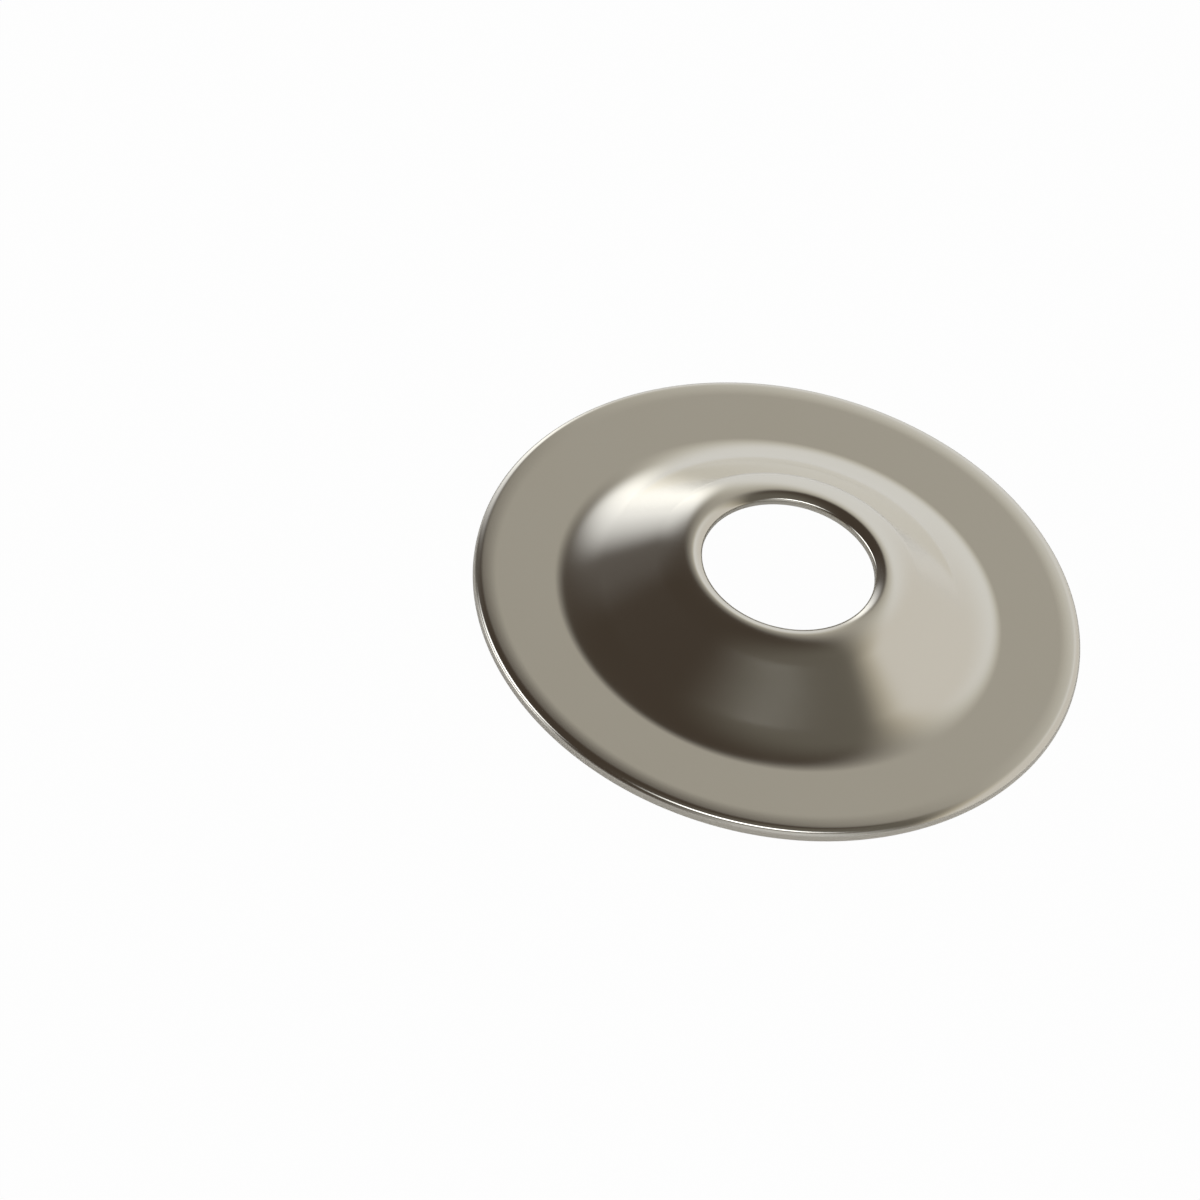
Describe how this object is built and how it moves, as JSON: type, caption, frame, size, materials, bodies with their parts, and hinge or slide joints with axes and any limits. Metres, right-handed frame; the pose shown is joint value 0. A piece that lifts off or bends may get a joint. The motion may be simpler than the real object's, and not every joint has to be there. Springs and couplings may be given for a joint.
{
  "type": "finishing cup washer",
  "caption": "Round pressed sheet-metal washer with a flat flange and a low conical cup around a screw hole; its hollow side seats a countersunk screw head.",
  "frame": {"origin": "on the washer's axis, at the underside of the flange", "axes": "+Z along the axis, from the flange towards the top of the cup; X and Y lie in the flange"},
  "size_m": [0.02, 0.02, 0.0026],
  "materials": {
    "sheet_metal": "satin, warm nickel tone"
  },
  "bodies": {
    "root": {"cup_washer": "sheet_metal"}
  },
  "joints": []
}
